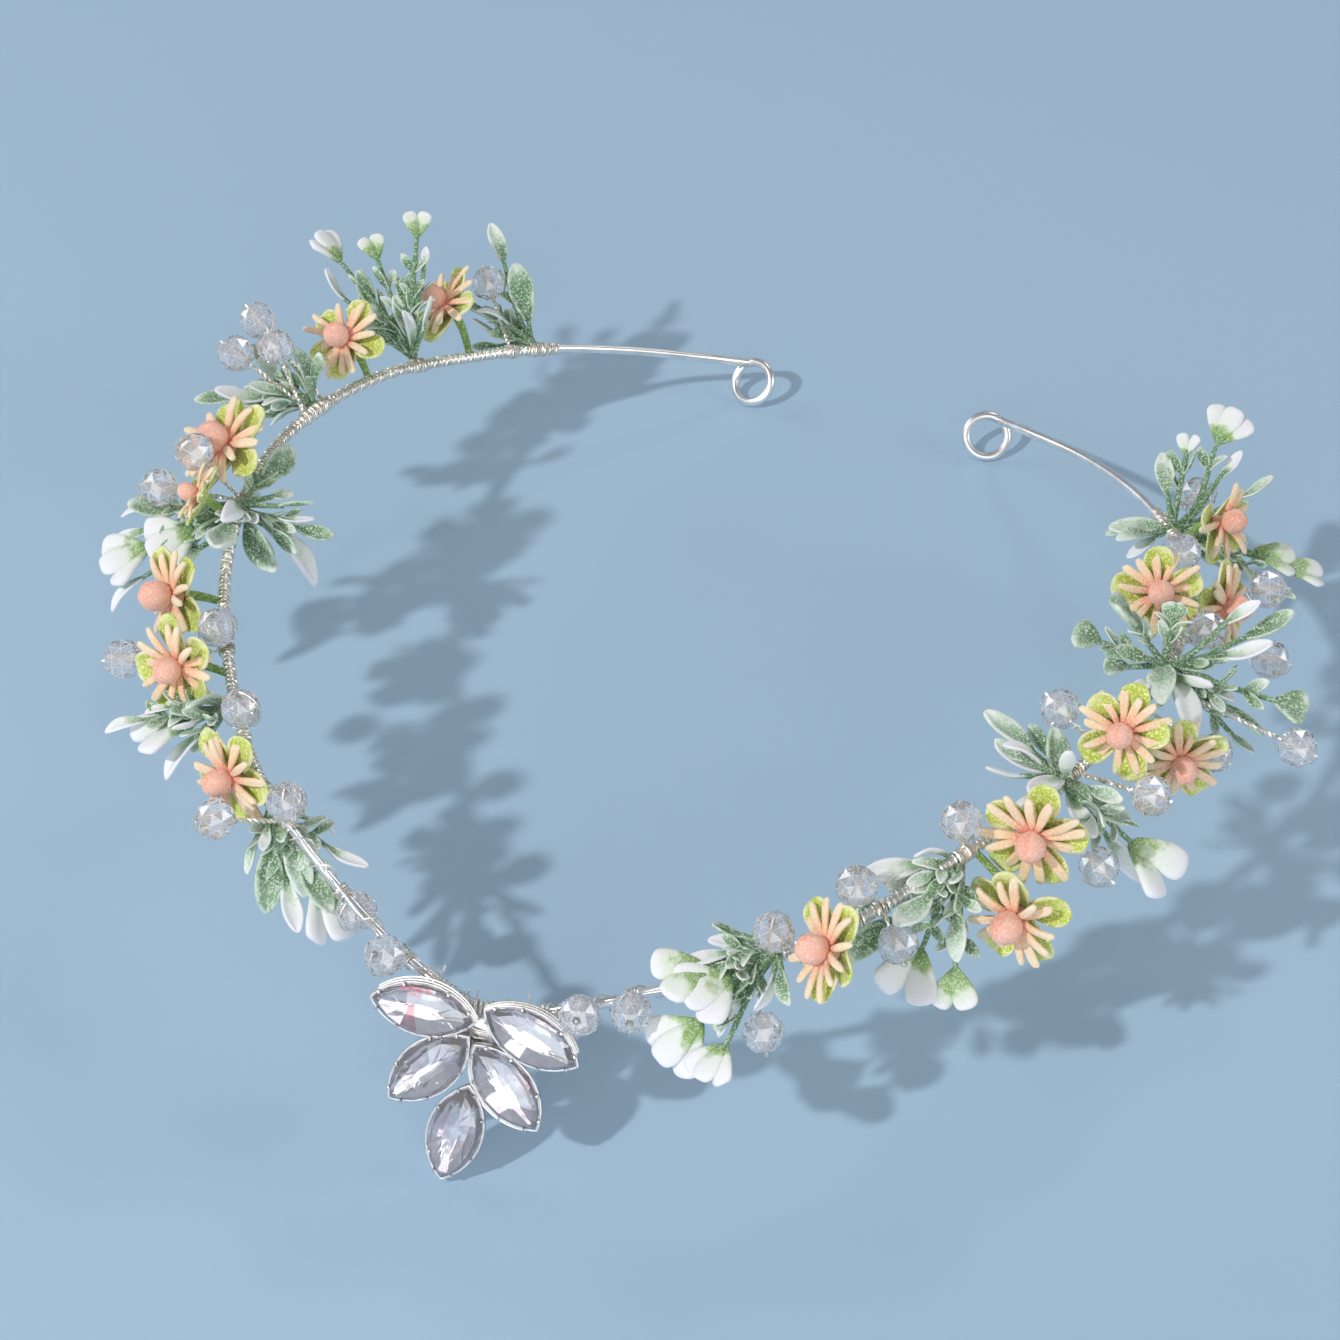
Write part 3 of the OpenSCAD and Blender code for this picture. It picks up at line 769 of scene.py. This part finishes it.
def marquiseDisc(name, length, width, corners):
    # a filled circle drawn in to a pointed oval, pair by pair
    obj = startShape(name, bpy.ops.mesh.primitive_circle_add,
                     vertices=corners, radius=length / 2 * mm, fill_type="NGON")
    heights = sorted({round(v.co.y / mm, 5) for v in bmesh.from_edit_mesh(obj.data).verts})
    for y in heights:
        half = math.sqrt(max(0, (length / 2) ** 2 - y * y))
        if half > 1e-3:
            choose(obj, lambda co: abs(co.y / mm - y) < 1e-3)
            resize(halfWidth(length, width, y) / half, 1, 1)
    bpy.ops.mesh.select_all(action="SELECT")
    return obj


def crystalMaster():
    p = pendantShape
    obj = marquiseDisc("marquiseCrystal", p["cupLength"] - 1, p["cupWidth"] - 0.6, p["corners"])
    pullUp(p["girdle"])
    pullUp(p["crown"] * 0.5, *p["shoulder"])
    pullUp(p["crown"] * 0.5, *p["table"])
    chooseFaces(obj, lambda f: abs(f.calc_center_median().z) < 1e-6)
    pullUp(-p["backDepth"], *p["keel"])
    faceOutwards()
    bpy.ops.mesh.quads_convert_to_tris(quad_method="FIXED")
    endShape(obj)
    wear(obj, cutCrystal, silverFoil)
    for face in obj.data.polygons:
        face.material_index = int(face.center.z < (p["girdle"] - 0.02) * mm)
    return obj


def cupMaster():
    # a stamped cup: a boat-shaped bottom, a thin rim and eight small claws over the stone's edge
    p = pendantShape
    foot = p["cupFoot"]
    obj = marquiseDisc("stampedCup", p["cupLength"] * foot, p["cupWidth"] * foot, p["cupCorners"])
    pullUp(p["wallFrom"], 1 / foot, 1 / foot)
    pullUp(p["cupHeight"] - p["wallFrom"])
    bpy.ops.mesh.inset(thickness=0.27 * mm)
    pullUp(p["cupFloor"] - p["cupHeight"], 0.66, 0.66)
    faceOutwards()
    endShape(obj, [("BEVEL", {"width": 0.1 * mm, "segments": 2})], 40)
    parts = [wear(obj, stampedCup)]
    for y in p["clawsAt"]:
        x = halfWidth(p["cupLength"], p["cupWidth"], y) - 0.16
        for sign in (-1, 1):
            claw = startShape("claw", bpy.ops.mesh.primitive_cube_add, size=1,
                              location=(sign * x * mm, y * mm, 2.85 * mm),
                              scale=(0.26 * mm, 0.5 * mm, 0.4 * mm))
            chooseFaces(claw, lambda f: f.normal.z > 0.9)
            extrude(-sign * 0.3 * mm, 0, 0.18 * mm)
            bpy.ops.transform.resize(value=(0.7, 0.6, 1))
            endShape(claw, [("BEVEL", {"width": 0.08 * mm, "segments": 2})], 50)
            parts.append(wear(claw, stampedCup))
    return joined("cupMaster", parts)


fanPlace = (Matrix.Translation((Vector((0, 0, peakHeight)) + bandShape["toMiddle"]) * mm)
            @ turn("Z", pendantShape["turn"]) @ turn("X", pendantShape["slope"]))


def inFan(k):
    # the place of a stone and its cup
    angle, x, y = pendantShape["fan"][k]
    return (fanPlace @ Matrix.Translation(Vector((x, y, pendantShape["back"])) * mm)
            @ turn("Z", -angle) @ shifted(0, -pendantShape["cupLength"] / 2, 0))


def pendantPieces():
    p = pendantShape
    crystal, cup = crystalMaster(), cupMaster()
    seat = shifted(0, 0, p["cupFloor"] - 0.03 + p["base"])
    metal = []
    for k in range(5):
        stone = copyOf(crystal, seat)
        if k == 0:  # the lower middle of the first stone gets the painted pink reflection
            stone.data.materials.append(pinkReflectionFoil)
            for face in stone.data.polygons:
                c = face.center / mm
                if face.material_index and p["pinkReflectionFrom"] < c.y < p["pinkReflectionTo"] and c.x > 0:
                    face.material_index = 2
        stone.data.transform(inFan(k))
        handOver(f"marquise_{k + 1}", [stone], "crystal", f"stone_{k + 1}")
        metal.append(copyOf(cup, inFan(k)))
    # the plate that the cups are soldered to
    plate = startShape("plate", bpy.ops.mesh.primitive_cylinder_add, vertices=32,
                       radius=p["plateRadius"] * mm, depth=p["plateThick"] * mm,
                       location=Vector(p["plateAt"]) * mm)
    chooseFaces(plate, lambda f: f.normal.z > 0.9)
    bpy.ops.mesh.inset(thickness=p["plateEdge"] * mm)
    move(0, 0, p["plateDome"] * mm)
    endShape(plate, [("BEVEL", {"width": 0.12 * mm, "segments": 2})], 40)
    plate.data.transform(fanPlace)
    metal.append(wear(plate, stampedCup))

    def addWire(name, points, radius, sides, place=fanPlace):
        line = [(place @ (Vector(q) * mm)) / mm for q in points]
        metal.append(wire(name, fineWire, line, radius, sides))

    # the wire that hangs the plate from the band, wound over the V and down behind the plate
    reach = p["hangerReach"]
    for k in range(p["hangers"]):
        x = -1.6 + p["hangerStep"] * k
        ring = [(x + 0.1 * math.sin(a), reach * math.cos(a), reach * math.sin(a))
                for a in [math.radians(t) for t in range(-80, 220, 20)]]
        addWire("hanger", [(x, -4.4, 1.5), (x, -2.8, 1.2)] + ring, p["wireRadius"], 1)
    for k in range(p["bindings"]):
        y = -1.4 - p["bindingStep"] * k
        line = [(-2.2 + 0.1 * k, y + 0.5, 2.5), (-1.1, y, 3.0 + 0.2 * (k % 2)), (0.5, y - 0.4, 2.5)]
        addWire("binding", line, p["wireRadius"], 1)
    # thin wires laid along the rims of the upper and side stones
    for k, hand in p["rimStones"].items():
        for gap in p["rimGaps"]:
            line = []
            for j in range(15):
                y = -p["cupLength"] / 2 * 0.86 + j * p["cupLength"] * 0.93 / 14
                x = halfWidth(p["cupLength"], p["cupWidth"], y) + gap
                line.append((hand * x, y, 2.5 - gap))
            addWire("rimWire", line, p["rimWire"], 0, inFan(k))
    handOver("pendant_cups", metal, "silver_setting", "pendant_setting")
    dropMasters(crystal, cup)


pendantPieces()
print("pendant set")


def blade(name, length, widths, rises, rows, cup, fold, thick, material, tipBack):
    # a grid drawn in to its outline column by column, cupped, folded and given its thickness
    columns = len(widths) - 1
    obj = startShape(name, bpy.ops.mesh.primitive_grid_add,
                     x_subdivisions=columns, y_subdivisions=rows, size=1)
    bpy.ops.mesh.select_all(action="SELECT")
    move(0.5, 0, 0)
    for k, (width, rise) in enumerate(zip(widths, rises)):
        share = width / length
        inside = lambda co: abs(co.x - k / columns) < 0.01
        choose(obj, inside)
        resize(1, share, 1)
        move(0, 0, rise / length)
        choose(obj, lambda co: inside(co) and abs(co.y) > share * 0.45)
        move(0, 0, cup * share)
        choose(obj, lambda co: inside(co) and abs(co.y) < share * 0.05)
        move(0, 0, -fold * share)
    # the outer corners of the tip drawn back so that it ends round or pointed
    choose(obj, lambda co: co.x > 0.99 and abs(co.y) > widths[-1] / length * 0.4)
    move(-tipBack, 0, 0)
    bpy.ops.mesh.select_all(action="SELECT")
    resize(length * mm, length * mm, length * mm)
    bpy.ops.transform.vertex_random(offset=0.15 * mm, seed=len(bpy.data.objects))
    endShape(obj, [
        ("SOLIDIFY", {"thickness": thick * mm, "offset": 0}),
        ("SUBSURF", {}),
    ], 180)
    return wear(obj, material)


# the way to the camera, for what must not hide a bead that the photo shows
sight = Vector((0.263, -0.695, 0.669))


def hidesBead(point, gap, rows=range(len(beadPlaces))):
    # true where the point, seen from the camera, stands before a bead or closely beside it
    for row in rows:
        off = point - spot(*beadPlaces[row][1:])
        ahead = off.dot(sight)
        if ahead > 0 and (off - sight * ahead).length < gap:
            return True
    return False


flowerShape = {
    "starPetals": 13,
    "starLength": 7.2,
    "starRise": 14,
    "backPetals": 5,
    "backReach": 7.8,
    "turnSpread": 7,  # how unevenly the petals stand round the middle, in degrees
    "ball": 2.5,
    "ballSizes": {4: 0.92, 7: 0.86, 8: 0.86},  # the others have a ball of 0.8
    "opened": {2: 1.15, 8: 1.12, 9: 1.12, 10: 0.98},  # three are wider open, one a little less
    "givesWay": {14: [26]},  # the petals of the last flower leave its bead in sight
    "ballHeight": 3.6,
    "behind": 1.9,
    "stem": 0.55,
    "turned": {0: (-70, 42), 2: (-54, 50), 3: (-70, 28), 8: (-12, 8)},  # soft stems, set one by one
    # one petal of the lowest flower on the left has grown long and hangs out
    "longPetal": {6: Vector((0.704, -0.335, -0.624))},
    "starSight": 3.2,  # how far the tips of petals that give way keep from a bead in sight
    "backSight": 3.6,
}


def ballMaster():
    # the ball with its neck drawn down to where the petals meet
    r = flowerShape["ball"]
    obj = startShape("grainyBall", bpy.ops.mesh.primitive_uv_sphere_add,
                     segments=20, ring_count=12, radius=r * mm)
    chooseFaces(obj, lambda f: f.calc_center_median().z < -0.87 * r * mm)
    bpy.ops.mesh.dissolve_faces()
    chooseFaces(obj, lambda f: f.normal.z < -0.98)
    for reach, size in ((1.2, 1), (0.5, 1.35)):
        extrude(0, 0, -reach * mm)
        bpy.ops.transform.resize(value=(size, size, 1))
    bpy.ops.mesh.select_all(action="SELECT")
    bpy.ops.transform.vertex_random(offset=0.13 * mm, seed=5)
    endShape(obj, smooth=60)
    return wear(obj, coralBall)


def petalMasters():
    # widths and rises from root to tip, cup and fold
    slim = [blade("starPetal", flowerShape["starLength"], widths, rises, 2, cup, fold, 0.75,
                  peachPetal, 0.03) for widths, rises, cup, fold in (
        ((0.7, 0.85, 1.05, 1.25, 1.4, 1.35, 0.9), (0, 0.15, 0.25, 0.3, 0.28, 0.2, 0.05),
         0.08, 0.18),
        ((0.7, 0.8, 1, 1.15, 1.2, 1.15, 0.7), (0, 0.35, 0.7, 0.95, 1.05, 1, 0.8), 0.1, 0.14),
        ((0.7, 0.9, 1.1, 1.35, 1.5, 1.45, 1), (0, 0.1, 0.05, -0.1, -0.3, -0.55, -0.85), 0.06, 0.2))]
    rounds = [blade("limePetal", flowerShape["backReach"], widths, rises, 4, cup, fold, 0.55,
                    limePetal, 0.06) for widths, rises, cup, fold in (
        ((1.2, 2.4, 3.9, 5, 5.4, 4.9, 3.2), (0, 0.05, 0.2, 0.45, 0.75, 1.05, 1.3), 0.16, 0),
        ((1.2, 2.2, 3.6, 4.7, 5.2, 4.9, 3.4), (0, 0.15, 0.3, 0.4, 0.4, 0.3, 0.1), 0.1, 0.05))]
    return slim, rounds


def flowerPieces():
    f = flowerShape
    slim, rounds = petalMasters()
    ball = ballMaster()
    spread = f["turnSpread"]
    for k, (hand, s, along, out, up, azimuth, height, size) in enumerate(flowerPlaces):
        at = spot(hand, s, along, out, up)
        way = faceWay(*f["turned"].get(k, (azimuth, height)))
        place = facing(at, way) @ scaled(size * f["opened"].get(k, 1))
        spin = dice.uniform(0, 360)
        parts = []

        def addPetal(petal, matrix, tipAt, gap):
            tip = matrix @ Vector((tipAt * mm, 0, 0)) / mm
            if not hidesBead(tip, gap, f["givesWay"].get(k, ())):
                parts.append(copyOf(petal, matrix))

        for j in range(f["starPetals"]):
            angle = spin + 360 * j / f["starPetals"] + dice.uniform(-spread, spread)
            stretch = dice.uniform(0.82, 1.03)
            lift = dice.uniform(-4, f["starRise"])
            petal = dice.choice(slim)
            addPetal(petal, place @ shifted(0, 0, 0.45) @ turn("Z", angle) @ turn("Y", -lift)
                     @ turn("X", dice.uniform(-18, 18)) @ shifted(0.35, 0, 0)
                     @ scaled(stretch, 1, 1), f["starLength"] * 0.75, f["starSight"])
        for j in range(f["backPetals"]):
            angle = spin + 18 + 360 * j / f["backPetals"] + dice.uniform(-spread, spread)
            petal = dice.choice(rounds)
            addPetal(petal, place @ shifted(0, 0, 0.4 - f["behind"]) @ turn("Z", angle)
                     @ turn("Y", -dice.uniform(2, 14)) @ turn("X", dice.uniform(-10, 10))
                     @ scaled(dice.uniform(0.92, 1.02)), f["backReach"] * 0.7, f["backSight"])
        if k in f["longPetal"]:
            hanging = f["longPetal"][k].to_track_quat("X", "Z").to_matrix().to_4x4()
            parts.append(copyOf(slim[2], Matrix.Translation(at * mm) @ hanging
                                @ scaled(1.45, 1.2, 1.2)))
        b = f["ballSizes"].get(k, 0.8)
        parts.append(copyOf(ball, place @ shifted(0, 0, f["ballHeight"] * b)
                            @ turn("Y", dice.uniform(-6, 6)) @ scaled(b, b, b * 1.12)))
        foot = spot(hand, s)
        back = at - way * f["behind"] * size
        bend = (foot + back) / 2 - way * 0.8
        line = bezier(foot + (back - foot).normalized() * 0.5, bend, back - way * 0.9,
                      back + way * 1.2, 8)
        parts.append(wire("stem", limeStem, line, f["stem"], 1, 1.5))
        handOver(f"blossom_{k + 1:02d}", parts, "peach_petals", f"flower_{k + 1:02d}")
    dropMasters(*slim, *rounds, ball)


flowerPieces()
print("flowers made")

leafShape = {
    "masterLength": 10,
    "ovalWidths": (1.1, 2.6, 3.8, 4.5, 4.4, 3.4, 1.4),
    "slimWidths": (1.1, 2.3, 3.2, 3.8, 3.8, 2.9, 1.1),
    "lobeWidths": (1.0, 2.2, 3.4, 4.5, 5.1, 5.1, 3.9),
    # rises from root to tip, cup and fold of the three shapes that each plain leaf comes in
    "shapes": [
        ((0, 0.1, 0.1, 0, -0.1, -0.1, 0.1), 0.16, 0.06),
        ((0, 0.4, 0.6, 0.6, 0.3, -0.4, -1.4), 0.1, 0.12),
        ((0, -0.3, -0.3, 0, 0.5, 1.1, 1.9), 0.22, 0.02),
    ],
    # turns of the lobes of a bud or a heart
    "lobed": [
        (bud, (-23, 23), budLobe), (bud, (-20, 20), greenBud), (bud, (-32, -2, 28), budLobe),
        (heart, (-21, 21), sageLeaf), (heart, (-18, 23), sageLeaf),
    ],
    "lobeReach": 0.9,
    "heartReach": 0.72,  # the two-lobed green leaves are short and round
    "thick": 0.7,
    "stemRadius": 0.54,
    "bareStem": 6,  # stems up to this length carry no small leaves
    "twinLength": (3.2, 4.6),  # the small leaves in twos on the others
    "fillers": (4, 8, 10, 10, 5, 4, 6, 9, 8, 10, 8),  # most small leaves added to each row
    "fillerAt": (4.5, 9),  # distance from the root
    "fillerLength": (4.5, 6.5),
    "fillerRoom": 2.4,  # from other leaves, and beyond the rooms of flowers and beads
    "flowerRoom": 5.5,
    "beadRoom": 2.5,
    "fillerHeight": 4,  # the least height over the table
    "fillerTries": 40,
    "fillerSight": 5,  # how far small leaves keep from a bead in sight
    "twinSight": 4.5,
    "twinReach": 2,
    "rootShift": {5: 4, 6: 6, 7: 5.5},  # roots bound on further from the V than their solids' roots
}


def leafMasters():
    n, t = leafShape["masterLength"], leafShape["thick"]
    masters = {kind: [] for kind in (green, pale, white, bud, heart)}
    oval, slim = leafShape["ovalWidths"], leafShape["slimWidths"]
    for kind, widths, material in (
            (green, oval, sageLeaf), (pale, oval, mintLeaf), (white, slim, whiteLeaf)):
        for rises, cup, fold in leafShape["shapes"]:
            masters[kind].append(
                blade(f"leaf{kind}", n, widths, rises, 4, cup, fold, t, material, 0.04))
    for kind, fan, material in leafShape["lobed"]:
        lobes = []
        widths = [width * (1.3 if kind == heart else 1) for width in leafShape["lobeWidths"]]
        for j, angle in enumerate(fan):
            lobe = blade("lobe", n * leafShape["lobeReach"], widths,
                         (0, 0.1, 0.3, 0.5, 0.5, 0.3, 0), 4, -0.08, 0, t * 1.6, material, 0.07)
            lobe.data.transform(shifted(0, 0, 0.35 if j % 2 else -0.25) @ turn("Z", angle)
                                @ turn("X", angle * 0.8))
            lobes.append(lobe)
        masters[kind].append(joined(f"lobed{kind}", lobes))
    return masters


def leafFrame(point, way, roll):
    # X along the leaf, its face up before the roll
    return facing(point, way) @ turn("Y", -90) @ turn("X", roll)


def sprayPieces():
    f = leafShape
    masters = leafMasters()
    n = f["masterLength"]
    byNode = {}
    things = [(spot(*place[:5]), f["flowerRoom"]) for place in flowerPlaces]
    things += [(spot(*place[1:]), f["beadRoom"]) for place in beadPlaces]
    for row, (number, hand, s, out, up, leaves) in enumerate(sprays):
        rootAt = s + f["rootShift"].get(row, 0)
        foot = spot(hand, rootAt)
        root = foot + (spot(hand, rootAt, 0, out, up) - foot).normalized() * 0.9
        mine = [(spot(hand, s, *leaf[:3]), leaf[3], sum(leaf[5:]), leaf[4]) for leaf in leaves]
        main = list(mine)
        for k in range(f["fillerTries"]):
            # smaller leaves among the main ones, where there is room
            middle, _, _, kind = dice.choice(main)
            way = (middle - root).normalized() + 0.5 * Vector(
                [dice.uniform(-1, 1) for axis in range(3)])
            middle = root + way.normalized() * dice.uniform(*f["fillerAt"])
            room = min([(middle - other[0]).length for other in mine]
                       + [(middle - thing).length - reach for thing, reach in things])
            if (room > f["fillerRoom"] and middle.z > f["fillerHeight"]
                    and not hidesBead(middle, f["fillerSight"])
                    and len(mine) < len(main) + f["fillers"][row]):
                mine.append((middle, dice.uniform(*f["fillerLength"]), dice.uniform(-60, 60),
                             dice.choice((green, green, pale, white))))
        mean = sum(((leaf[0] - root).normalized() for leaf in mine), Vector()).normalized()
        parts = byNode.setdefault(number, [])
        for middle, length, roll, kind in mine:
            way = (middle - root).normalized()
            reach = length * (f["heartReach"] if kind == heart else 1)
            start = middle + way * (length / 2 - reach)
            far = (start - root).length
            lean = mean if mean.dot(way) > 0.2 else way
            path = bezier(root, root + (lean + way).normalized() * far * 0.45,
                          start - way * far * 0.3, start + way * 0.9, 9)
            # small leaves in twos along the longer stems
            for k in (4, 6) if far > f["bareStem"] else ():
                ahead = (path[k + 1] - path[k - 1]).normalized()
                for flank in (-1, 1):
                    out = (ahead + flank * 0.9 * ahead.cross(Vector((0, 0, 1))).normalized()
                           + Vector((0, 0, dice.uniform(0, 0.7)))).normalized()
                    small = dice.choice(masters[dice.choice((green, pale))])
                    matrix = (leafFrame(path[k], out, dice.uniform(-60, 60))
                              @ scaled(dice.uniform(*f["twinLength"]) / n))
                    if not hidesBead(path[k] + out * f["twinReach"], f["twinSight"]):
                        parts.append(copyOf(small, matrix))
            parts.append(wire("stem", sageStem, path, f["stemRadius"], 1, 0.7))
            place = leafFrame(start, way, roll + dice.uniform(-22, 22))
            parts.append(copyOf(dice.choice(masters[kind]),
                                place @ turn("Y", dice.uniform(-10, 10)) @ scaled(reach / n)))
        parts.append(binding(hand, rootAt, *windings["sprayBinding"]))
    for number, parts in byNode.items():
        handOver(f"leaf_spray_{number:02d}", parts, "sage_leaves", f"spray_{number:02d}")
    for group in masters.values():
        dropMasters(*group)


sprayPieces()
print("sprays made")


studio = {
    "floorSize": 4,
    "floorColour": "#A6C2D8",
    # place, size and power of each soft box, in metres and watts
    "key": ((-0.8, -1.24, 1.34), 0.08, 19.0),
    "front": ((0.35, -1.1, 0.35), 1.2, 7.2),
    "back": ((0.2, 1.5, 1.4), 0.5, 3.6),
    "left": ((-1.35, 0.3, 0.6), 0.7, 4.5),
    "right": ((1.35, 0.3, 0.6), 0.7, 4.5),
    "world": ("#EEF0F9", 0.29),
    "target": (-0.0135, 0.0184, 0),
    "azimuth": 20.7,
    "elevation": 42,
    "distance": 0.6,
    "lens": 101.55,
    "sensorWidth": 36,
    "clip": (0.01, 20),
}


def studioLight(name, place, size, power):
    light = bpy.data.lights.new(name, "AREA")
    light.size, light.energy = size, power
    obj = newObject(name, light)
    obj.location = place
    obj.rotation_euler = (-Vector(place)).to_track_quat("-Z", "Y").to_euler()


bpy.ops.mesh.primitive_plane_add(size=studio["floorSize"])
floor = bpy.context.active_object
floor.name = "floor"
# painted board: matt, pale blue and plain
paintedBoard = newMaterial(
    "paintedBoard", Base_Color=linear(studio["floorColour"]), Roughness=0.75)[0]
wear(floor, paintedBoard)

for name in ("key", "front", "back", "left", "right"):
    studioLight(name, *studio[name])
world = bpy.data.worlds.new("studio")
world.use_nodes = True
sky = world.node_tree.nodes["Background"].inputs
sky["Color"].default_value, sky["Strength"].default_value = (
    linear(studio["world"][0]), studio["world"][1])
scene.world = world
scene.view_settings.view_transform = "Standard"

camera = newObject("camera", bpy.data.cameras.new("camera"))
back = faceWay(studio["azimuth"], studio["elevation"])
camera.location = Vector(studio["target"]) + back * studio["distance"]
camera.rotation_euler = (-back).to_track_quat("-Z", "Y").to_euler()
camera.data.lens = studio["lens"]
camera.data.sensor_width = studio["sensorWidth"]
camera.data.clip_start, camera.data.clip_end = studio["clip"]
scene.camera = camera

print("scene ready")
